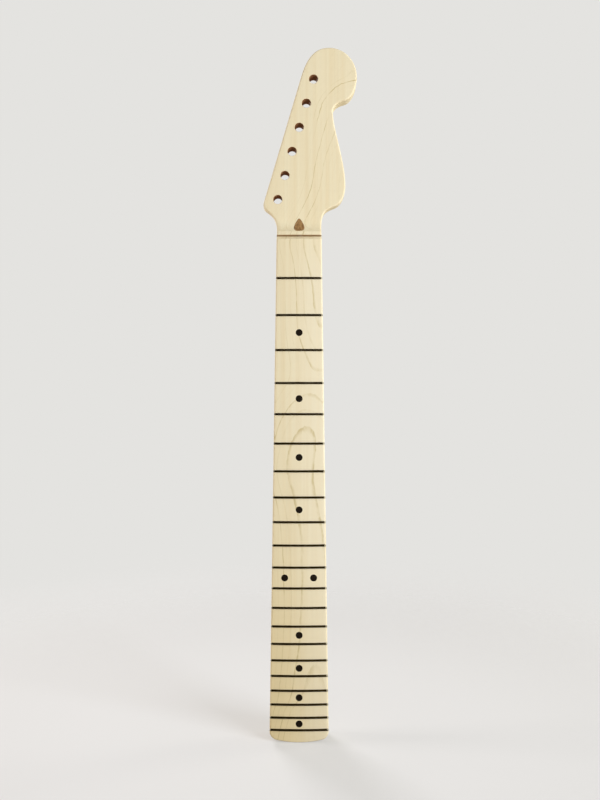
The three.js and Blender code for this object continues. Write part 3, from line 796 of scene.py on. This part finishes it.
def maple_rings(place):
    """Distance from the tree's pith, counted in rings. The pith wanders at the side of and behind the neck:
    its rows hold height on the neck, distance to the treble side and depth below the board's crown."""
    x, y, z = (place.part(axis) for axis in "XYZ")
    low, high = PITH_ROWS[0][0], PITH_ROWS[-1][0]
    stops = [
        ((row - low) / (high - low), (side / PITH_REACH_MM, depth / PITH_REACH_MM, 0))
        for row, side, depth in PITH_ROWS
    ]
    pith = place.add(
        "ShaderNodeValToRGB", {"between_stops": "B_SPLINE", "stops": stops}, {0: (z - low) / (high - low)})
    side = PITH_REACH_MM * pith.part("X")
    depth = PITH_REACH_MM * pith.part("Y") - HEEL_THICKNESS / MM
    drift = place.stretched(1 / 14, 1 / 14, 1 / 34).noise(1.0) - 0.5
    jag = place.moved(7, 3, 11).stretched(1 / 2.5, 1 / 2.5, 1 / 6).noise(1.0) - 0.5
    jagged = 0.3 + 0.5 * z.clear_between(NUT_FRONT / MM, NUT_FRONT / MM + 60)
    away = ((x - side) ** 2 + (y - depth) ** 2) ** 0.5
    return (away + 0.7 * drift + jagged * jag - FIRST_RING_MM) / RING_MM


def ring_lines(place, ring):
    """How dark the line between two rings is: each has its own strength on the board, headstock and ball."""
    boundary = ring.math("ROUND")
    past = ring - boundary
    line = past.clear_between(-0.2, -0.03) * (1 - past.clear_between(-0.02, 0.03))
    first, last = min(RING_SHOWS), max(RING_SHOWS)
    stops = [
        ((number - first) / (last - first + 1), strengths) for number, strengths in RING_SHOWS.items()
    ]
    shows = place.add(
        "ShaderNodeValToRGB", {"between_stops": "CONSTANT", "stops": stops},
        {0: (boundary - first + 0.5) / (last - first + 1)})
    height = place.part("Z")
    head = height.clear_between(NUT_FRONT / MM, NUT_FRONT / MM + 20)
    ball = height.clear_between(BALL_START / MM, BALL_START / MM + 14)
    share = shows.part("X") * (1 - head) + shows.part("Y") * (head - ball) + shows.part("Z") * ball
    fading = place.moved(9, 2, 5).stretched(1 / 9, 1 / 9, 1 / 30).noise(1.0).clear_between(0.32, 0.6)
    broken = place.moved(3, 8, 1).stretched(1 / 4, 1 / 4, 1 / 8).noise(2.0).clear_between(0.38, 0.56)
    return line * share * (0.4 + 0.6 * fading) * (0.55 + 0.7 * broken)


def hole_walls_painted_shade(place):
    """1 on the walls of the tuner holes and 0 elsewhere: these walls take painted shade."""
    spots = [spot / MM for spot in tuner_places()]
    along = (spots[1] - spots[0]) / np.linalg.norm(spots[1] - spots[0])
    x = place.part("X") - float(spots[0][0])
    z = place.part("Z") - float(spots[0][1])
    run = x * float(along[0]) + z * float(along[1])
    aside = x * float(along[1]) - z * float(along[0])
    pitch = TUNER_PITCH / MM
    nearest = (run / pitch).math("ROUND").math("MAXIMUM", 0.0).math("MINIMUM", TUNER_COUNT - 1.0)
    away = ((run - pitch * nearest) ** 2 + aside**2) ** 0.5
    wall = TUNER_HOLE_RADIUS / MM
    return 1 - away.clear_between(wall + 0.04, wall + 0.2)


def slot_corner_painted_shadow(place):
    """1 in the corner of the nut's slot and on the lip of the ledge over it, where a painted shadow stands
    for the shade that the ledge casts into the slot.
    """
    top = (NUT_FRONT + NUT_SLOT_WIDTH) / MM
    height = place.part("Z")
    band = height.clear_between(top - 0.9, top - 0.4) * (1 - height.clear_between(top + 0.45, top + 0.75))
    floor = face_y(NUT_SLOT_DEPTH) / MM
    return band * (1 - place.part("Y").clear_between(floor + 0.05, floor + 0.3))


CREAM = colour(236, 222, 193)
PALE_CREAM = colour(240, 229, 204)
TREBLE_PAINTED_LIGHT_CREAM = colour(240, 232, 217)
PAINTED_WARM_SHADE_CREAM = colour(234, 215, 172)
RING_BROWN = colour(190, 170, 108)
FLECK_BROWN = colour(170, 126, 80)
HOLE_WALL_PAINTED_SHADE_BROWN = colour(150, 90, 37)
SLOT_PAINTED_SHADOW_BROWN = colour(138, 102, 60)
TREBLE_SPAN_MM = (-24, 24)
TREBLE_END_MM = (390, 450)
PAINTED_WARM_SHADE_SPAN_MM = (-60, 260)
MAPLE_SHINE = 0.28


def maple_material():
    material, shader, place = new_material("maple")
    ring = maple_rings(place)
    lines = ring_lines(place, ring)
    wide_streak = place.moved(0, 0, 40).stretched(1 / 5, 1 / 5, 1 / 260).noise(2.0)
    thin_streak = place.moved(8, 8, 40).stretched(1 / 1.1, 1 / 1.1, 1 / 180).noise(2.0)
    fibre = place.stretched(3.2, 3.2, 1 / 9).noise(3.0, 0.6)
    fleck = place.moved(5, 5, 5).stretched(1.9, 1.9, 1 / 3).noise(2.0, 0.6).clear_between(0.68, 0.78)
    figure = place.stretched(1 / 14, 1 / 14, 1 / 5).noise(1.0, 0.5, 0.6)
    cream = wide_streak.clear_between(0.3, 0.7).between(CREAM, PALE_CREAM)
    height = place.part("Z")
    treble = place.part("X").clear_between(*TREBLE_SPAN_MM) * (1 - height.clear_between(*TREBLE_END_MM))
    # Painted light: the board is paler and less yellow towards its treble side, the side nearer the main
    # lamp.
    cream = cream.mixed(TREBLE_PAINTED_LIGHT_CREAM, 0.45 * treble)
    tone = 1.02 - (0.08 - 0.03 * treble) * (thin_streak - 0.5) - 0.03 * fibre - 0.03 * figure
    # Painted shade: yellower and a little darker towards the heel, more so on the bass side.
    painted_warm_shade = 1 - height.clear_between(*PAINTED_WARM_SHADE_SPAN_MM)
    wood = cream.mixed(PAINTED_WARM_SHADE_CREAM, painted_warm_shade * (0.85 - 0.6 * treble)).darkened(tone)
    wood = wood.mixed(RING_BROWN, lines)
    wood = wood.mixed(FLECK_BROWN, fleck * 0.16)
    # Painted shade: the walls inside the tuner holes are painted dark brown.
    wood = wood.mixed(HOLE_WALL_PAINTED_SHADE_BROWN, hole_walls_painted_shade(place) * 0.85)
    # Painted shadow: brown in the corner of the nut's slot and on the lip of the ledge over it.
    wood = wood.mixed(SLOT_PAINTED_SHADOW_BROWN, slot_corner_painted_shadow(place) * 0.85)
    connect(shader, Base_Color=wood, Roughness=0.58 + 0.12 * fibre + 0.06 * figure)
    connect(shader, Normal=relief(0.6 * fibre + 0.4 * (1 - fleck), 0.03))
    shader.inputs["Specular IOR Level"].default_value = MAPLE_SHINE
    return material


maple = maple_material()
fit(neck, maple, "maple", "neck", "neck_blank")

# Frets
# Twenty-one lengths of nickel silver wire: a domed crown that sits on the board, on a thin tang pressed into
# its slot. Each is bent to the board's radius and its ends are filed to a bevel. The wire is painted dark
# brown as a painted reflection of a dim room, and its ends near the board's edges are painted pale as a
# painted highlight.
CROWN_HALF = 1.05 * MM
CROWN_HEIGHT = 1.1 * MM
FRET_END_INSET = 0.15 * MM
FRET_END_BEVEL = 1.4 * MM
CROWN_STEPS = 12
CROWN_LIFT_SHARE = 0.2
END_STATION_SHARES = (0, 0.1, 0.25, 0.45, 0.65, 0.85, 1.0, 1.15)
MIDDLE_START_SHARE = 1.6
MIDDLE_STATIONS = 30


def fret_wire(fret):
    """Points and faces of a fret: a section swept round the board's radius, with a bevel at its ends."""
    z = fret_height(fret)
    half = board_half(z) - FRET_END_INSET
    ends = np.array(END_STATION_SHARES) * FRET_END_BEVEL
    start = FRET_END_BEVEL * MIDDLE_START_SHARE
    inner = np.linspace(-half + start, half - start, MIDDLE_STATIONS)
    stations = np.concatenate([-half + ends, inner, (half - ends)[::-1]])
    turn = np.linspace(0, math.pi, CROWN_STEPS * 2 + 1)
    tang = TANG_THICKNESS / 2
    rings = []
    for x in stations:
        room = half - abs(x)
        left = min(room / FRET_END_BEVEL, 1)
        tall = CROWN_HEIGHT * (0.04 + 0.96 * (1 - (1 - left) ** 1.3))
        wide = CROWN_HALF * (0.82 + 0.18 * min(left * 1.5, 1))
        across = wide * np.cos(turn)
        above = np.minimum(CROWN_HEIGHT * np.sin(turn), tall)
        outline = [(tang, -TANG_DEPTH), (tang, 0), *zip(across, above), (-tang, 0), (-tang, -TANG_DEPTH)]
        lean = math.asin(x / BOARD_RADIUS)
        seat = face_y(board_sag(x)) - FRET_SEAT_GAP * CROWN_LIFT_SHARE
        rings.append(np.array([
            (x + high * math.sin(lean), seat - high * math.cos(lean), z + side) for side, high in outline
        ]))
    return skin(rings)


NICKEL_PAINTED_REFLECTION_DARK = colour(70, 60, 41)
NICKEL_PAINTED_REFLECTION_LIGHT = colour(86, 75, 52)
FRET_END_PAINTED_HIGHLIGHT = colour(206, 198, 178)
PAINTED_HIGHLIGHT_EDGE_MM = (0.9, 1.5)


def nickel_material():
    material, shader, place = new_material("nickel_silver")
    rub = place.stretched(0.6, 0.6, 9).noise(3.0, 0.6)
    haze = place.stretched(1 / 5, 1 / 5, 1 / 5).noise(2.0)
    # Painted reflection: the wire is painted dark brown, as nickel silver looks when it mirrors a dim room.
    painted_reflection = haze.clear_between(0.35, 0.7).between(NICKEL_PAINTED_REFLECTION_DARK, NICKEL_PAINTED_REFLECTION_LIGHT)
    # Painted highlight: the fret ends near the board's edges are painted pale.
    widening = (HEEL_WIDTH - NUT_WIDTH) / (2 * (NUT_FRONT - HEEL_END))
    edge = NUT_WIDTH / (2 * MM) + widening * (NUT_FRONT / MM - place.part("Z"))
    from_edge = edge - place.part("X").math("ABSOLUTE")
    painted_end_highlight = 1 - from_edge.clear_between(*PAINTED_HIGHLIGHT_EDGE_MM)
    painted_reflection = painted_reflection.mixed(FRET_END_PAINTED_HIGHLIGHT, painted_end_highlight)
    connect(shader, Base_Color=painted_reflection, Roughness=0.24 + 0.14 * rub + 0.08 * haze, Normal=relief(rub, 0.006))
    shader.inputs["Metallic"].default_value = 1.0
    return material


nickel = nickel_material()
for fret in range(1, FRET_COUNT + 1):
    wire = new_piece(f"fret_wire_{fret}", *fret_wire(fret))
    fit(wire, nickel, "fret_wire", "neck", f"fret_{fret}")

# Dots
# Black plastic discs, glued into their recesses and sanded flush with the face and with the bass edge.


def disc(place_at, direction, radius, depth, rim=64, rows=5):
    """A flush disc: its top follows a surface, and its sides run down its recess."""
    rings = [place_at(radius * 0.002, rim)]
    for row in range(1, rows + 1):
        rings.append(place_at(radius * row / rows, rim))
    for share in (0.1, 0.5, 1.0):
        rings.append(rings[rows] - np.asarray(direction) * depth * share)
    rings.append(rings[-1] + (rings[-1].mean(0) - rings[-1]) * 0.998)
    return skin(rings[::-1])


def face_dot(x, z):
    def place_at(radius, rim):
        turn = np.arange(rim) * 2 * math.pi / rim
        across = x + radius * np.cos(turn)
        return np.stack([across, face_y(board_sag(across)), z + radius * np.sin(turn)], 1)

    return disc(place_at, FORWARD, DOT_RADIUS, DOT_DEPTH)


def side_dot(z):
    def place_at(radius, rim):
        turn = np.arange(rim) * 2 * math.pi / rim
        up = z + radius * np.cos(turn)
        return np.stack([-board_half(up), face_y(SIDE_DOT_DROP) + radius * np.sin(turn), up], 1)

    return disc(place_at, (-1, 0, 0), SIDE_DOT_RADIUS, SIDE_DOT_DEPTH, rim=40, rows=3)


DOT_BLACK = colour(18, 10, 5)
DOT_WORN_BLACK = colour(31, 20, 11)
DOT_SHINE = 0.22


def dot_material():
    material, shader, place = new_material("black_dot")
    sanded = place.stretched(7, 7, 0.8).noise(3.0, 0.65)
    mottle = place.stretched(0.9, 0.9, 0.9).noise(2.0)
    black = mottle.between(DOT_BLACK, DOT_WORN_BLACK)
    connect(shader, Base_Color=black, Roughness=0.34 + 0.2 * sanded, Normal=relief(sanded, 0.01))
    shader.inputs["Specular IOR Level"].default_value = DOT_SHINE
    return material


black_plastic = dot_material()
for mark, x, z in dot_places():
    fit(new_piece(f"dot_{mark}", *face_dot(x, z)), black_plastic, "black_dot", "neck", f"face_dot_{mark}")
for mark, z in side_dot_places():
    fit(new_piece(f"edge_dot_{mark}", *side_dot(z)), black_plastic, "black_dot", "neck", f"side_dot_{mark}")

# Walnut
# A round plug closes the bore over the rod's anchor. It is carved off with the ramp, so it shows as a
# teardrop. A stripe closes the rod's channel along the back, carved off with the round of the neck.
PLUG_GAP = 0.2 * MM
PLUG_RIM = 96
PLUG_SHOWN_SHARES = (1, 0.85, 0.7, 0.55, 0.4, 0.25, 0.1, 0.01)
HALVINGS = 40
WALNUT_TAN = colour(186, 144, 94)
WALNUT_BROWN = colour(138, 100, 62)
WALNUT_PORE = colour(84, 58, 32)


def plug():
    """The plug's round section, run along its bore until it meets the carved face."""
    first = np.array([1.0, 0, 0])
    second = np.cross(plug_direction, first)
    start = rod_head_end + plug_direction * PLUG_GAP

    def layer(radius):
        turn = np.arange(PLUG_RIM) * 2 * math.pi / PLUG_RIM
        return start + radius * (np.cos(turn)[:, None] * first + np.sin(turn)[:, None] * second)

    def shown(radius):
        spots = layer(radius)
        low, high = np.zeros(PLUG_RIM), np.full(PLUG_RIM, bore_length)
        for _ in range(HALVINGS):
            middle = (low + high) / 2
            at = spots + middle[:, None] * plug_direction
            inside = at[:, 1] > face_y(face_depth(at[:, 0], at[:, 2]))
            low = np.where(inside, middle, low)
            high = np.where(inside, high, middle)
        return spots + low[:, None] * plug_direction

    tops = [shown(PLUG_RADIUS * share) for share in PLUG_SHOWN_SHARES]
    return skin([layer(PLUG_RADIUS * PLUG_SHOWN_SHARES[-1]), layer(PLUG_RADIUS), *tops])


def stripe():
    """The stripe: inner side along the rod, outer side flush with the round of the back."""
    rings = []
    across_shares = np.sin(np.linspace(-1, 1, 13) * math.pi / 2)
    for z, half, inner in zip(*stripe_rows(0, ROD_RADIUS + ROD_PLAY)):
        across = half * across_shares
        round_half = board_half(z)
        shape = round_share(z)
        wide = BACK_EDGE_ROUND + (BACK_ROUND_SHARE * round_half - BACK_EDGE_ROUND) * shape
        deep = BACK_EDGE_ROUND + (back_depth(z) - SIDE_DEPTH - BACK_EDGE_ROUND) * shape
        way = np.clip(1 - (round_half - np.abs(across)) / wide, 0, 1)
        outer = face_y(back_depth(z) - deep * (1 - np.sqrt(1 - way**2)))
        inner_row = [(x, inner, z) for x in across]
        outer_row = [(x, y, z) for x, y in zip(across, outer)]
        rings.append(np.array(inner_row + outer_row[::-1]))
    return skin(rings)


def walnut_material():
    material, shader, place = new_material("walnut")
    streak = place.stretched(0.55, 0.55, 1 / 60).noise(3.0, 0.55, 0.4)
    fibre = place.stretched(3.0, 3.0, 1 / 7).noise(3.0, 0.6)
    pore = place.moved(3, 1, 2).stretched(2.4, 2.4, 1 / 3).noise(1.0).clear_between(0.62, 0.7)
    wood = streak.clear_between(0.35, 0.68).between(WALNUT_TAN, WALNUT_BROWN)
    teardrop = (NUT_FRONT + PLUG_SHOW_START) / MM
    shade = place.part("Z").clear_between(teardrop + 1, teardrop + 9)
    wood = wood.darkened(1 - 0.12 * fibre - 0.3 * shade * pore.math("MAXIMUM", 0.45))
    wood = wood.mixed(WALNUT_PORE, pore * 0.75)
    connect(shader, Base_Color=wood, Roughness=0.48 + 0.16 * fibre, Normal=relief(1 - pore, 0.05))
    return material


walnut = walnut_material()
fit(new_piece("walnut_plug", *plug()), walnut, "walnut", "neck", "headstock_plug")
fit(new_piece("walnut_stripe", *stripe()), walnut, "walnut", "neck", "back_stripe")

# Truss rod
# A curved steel rod in a channel behind the board. Its upper end is peened over an anchor under the plug.
# On its lower end, in the end of the heel, a slotted round nut bears on a washer.
ROD_NUT_PLAY = 0.15 * MM
ROD_NUT_EASE = 0.8 * MM
ROD_NUT_SLOT_HALF = 0.6 * MM
ROD_NUT_SLOT_DEPTH = 2.4 * MM
STEEL_BRIGHT = colour(168, 168, 170)
STEEL_DULL = colour(138, 136, 132)


def rod_nut():
    outer = ROD_NUT_RADIUS
    bore = ROD_RADIUS + ROD_NUT_PLAY
    bore_end = ROD_NUT_LENGTH - ROD_NUT_THREAD - ROD_NUT_PLAY
    start = np.array([0, rod_y, HEEL_END + ROD_NUT_RECESS])
    shoulder = ROD_NUT_EASE * 0.3
    profile = [(0, outer * 0.01), (0, outer - ROD_NUT_EASE), (shoulder, outer - shoulder),
               (ROD_NUT_EASE, outer), (ROD_NUT_LENGTH, outer), (ROD_NUT_LENGTH, bore), (bore_end, bore),
               (bore_end, bore * 0.01)]
    piece = new_piece("rod_nut", *turned(start, UP, profile))
    reach, half = outer + OVERRUN, ROD_NUT_SLOT_HALF
    low_z, high_z = start[2] - OVERRUN, start[2] + ROD_NUT_SLOT_DEPTH
    cut(piece, block((-reach, rod_y - half, low_z), (reach, rod_y + half, high_z)))
    cut(piece, block((-half, rod_y - reach, low_z), (half, rod_y + reach, high_z)))
    return piece


def steel_material():
    material, shader, place = new_material("turned_steel")
    turning = place.stretched(0.8, 0.8, 14).noise(2.0, 0.5)
    stain = place.stretched(0.4, 0.4, 0.4).noise(3.0)
    steel = stain.clear_between(0.4, 0.7).between(STEEL_BRIGHT, STEEL_DULL)
    roughness = 0.3 + 0.18 * turning + 0.1 * stain
    connect(shader, Base_Color=steel, Roughness=roughness, Normal=relief(turning, 0.008))
    shader.inputs["Metallic"].default_value = 1.0
    return material


turned_steel = steel_material()
fit(rod_nut(), turned_steel, "steel", "truss_nut", "truss_rod_nut")
for node in ("truss_rod", "rod_anchor", "truss_rod_washer"):
    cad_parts[node].data.materials.clear()
    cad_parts[node].data.materials.append(turned_steel)

# Camera, floor and lights
# The camera looks level at the neck from near the height of its middle. A pale floor fades into a pale
# background. The main light is wide and stands far off at the upper right, with a weaker one below it. Three
# more stand at the right behind, at the left and high up behind.
SENSOR_WIDTH = 36
PICTURE_HEIGHT_PX = 800
FOCAL_PX = 809.8
CAMERA_PLACE = Vector((0.8, -775.4, 280.2)) * MM
BACKGROUND = colour(228, 227, 224)
FLOOR_HALF = 3
FLOOR_THICKNESS = 0.02
FLOOR_DROP = 0.2 * MM
FLOOR_FADE = (0.15, 0.9)
FLOOR_GLOW = 0.46
FLOOR_GREY = colour(172, 173, 181)
FLOOR_ROUGHNESS = 0.9
ROOM_TINT = (0.95, 0.82, 0.6, 1)
ROOM_STRENGTH = 0.3
MIRRORED_ROOM_STRENGTH = 0.1


def floor_material():
    """Pale near the object and see-through further out, so that no edge shows."""
    material = bpy.data.materials.new("floor")
    material.use_nodes = True
    shader = material.node_tree.nodes["Principled BSDF"]
    output = material.node_tree.nodes["Material Output"]
    shader.inputs["Base Color"].default_value = FLOOR_GREY
    shader.inputs["Roughness"].default_value = FLOOR_ROUGHNESS
    shader.inputs["Emission Color"].default_value = BACKGROUND
    shader.inputs["Emission Strength"].default_value = FLOOR_GLOW
    place = Wire(material.node_tree).add("ShaderNodeTexCoord", out="Object")
    away = place.add("ShaderNodeVectorMath", {"operation": "LENGTH"}, {0: place}, out="Value")
    clear = away.add("ShaderNodeBsdfTransparent")
    lit = Wire(material.node_tree, shader.outputs[0])
    floor = away.add("ShaderNodeMixShader", None, {0: away.clear_between(*FLOOR_FADE), 1: lit, 2: clear})
    material.node_tree.links.new(floor.socket, output.inputs["Surface"])
    return material


floor_top = HEEL_END - FLOOR_DROP
floor = new_piece("floor", *block(
    (-FLOOR_HALF, -FLOOR_HALF, floor_top - FLOOR_THICKNESS), (FLOOR_HALF, FLOOR_HALF, floor_top)))
floor.data.materials.append(floor_material())
floor.visible_glossy = False
floor.visible_diffuse = False

camera = bpy.data.objects.new("camera", bpy.data.cameras.new("camera"))
bpy.context.scene.collection.objects.link(camera)
camera.location = CAMERA_PLACE
camera.rotation_euler = (math.radians(90), 0, 0)
camera.data.sensor_width = SENSOR_WIDTH
camera.data.lens = SENSOR_WIDTH * FOCAL_PX / PICTURE_HEIGHT_PX
camera.data.clip_start = 0.01
bpy.context.scene.camera = camera
bpy.context.scene.view_settings.view_transform = "Standard"


def soft_light(name, place, target, size, power, tint):
    """A rectangular lamp that shines at a target and isn't seen itself. Its power is in watts."""
    light = bpy.data.lights.new(name, "AREA")
    light.shape = "RECTANGLE"
    light.size, light.size_y = size
    light.energy = power
    light.color = tint
    lamp = bpy.data.objects.new(name, light)
    bpy.context.scene.collection.objects.link(lamp)
    lamp.location = place
    lamp.rotation_euler = (Vector(target) - Vector(place)).to_track_quat("-Z", "Y").to_euler()
    lamp.visible_camera = False
    return lamp


soft_light("key", (2.0, -1.7, 1.5), (0, 0, 0.3), (1.4, 1.4), 50.5, (0.94, 1.0, 0.99))
soft_light("fill", (0.9, -0.9, 0.0), (0, 0, 0.2), (0.8, 0.8), 10, (1.0, 0.99, 0.9))
soft_light("rim", (1.0, 0.35, 0.42), (0, 0, 0.35), (0.3, 1.0), 3.2, (1.0, 0.94, 0.76))
left = soft_light("left", (-1.0, 0.0, 0.35), (0, 0, 0.35), (0.3, 1.0), 7, (1.0, 0.92, 0.82))
left.visible_glossy = False
soft_light("back", (-0.9, 1.9, 1.3), (0, 0, 0.3), (0.9, 0.9), 28, (1.0, 0.97, 0.93))

world = bpy.data.worlds.new("studio")
bpy.context.scene.world = world
world.use_nodes = True
sky = Wire(world.node_tree)
room = sky.add("ShaderNodeBackground", None, {"Color": ROOM_TINT, "Strength": ROOM_STRENGTH})
dim_room = sky.add("ShaderNodeBackground", None, {"Color": ROOM_TINT, "Strength": MIRRORED_ROOM_STRENGTH})
backdrop = sky.add("ShaderNodeBackground", None, {"Color": BACKGROUND, "Strength": 1.0})
mirrored = sky.add("ShaderNodeLightPath", out="Is Glossy Ray")
lighting = sky.add("ShaderNodeMixShader", None, {0: mirrored, 1: room, 2: dim_room})
seen = sky.add("ShaderNodeLightPath", out="Is Camera Ray")
shown = sky.add("ShaderNodeMixShader", None, {0: seen, 1: lighting, 2: backdrop})
world.node_tree.links.new(shown.socket, world.node_tree.nodes["World Output"].inputs["Surface"])
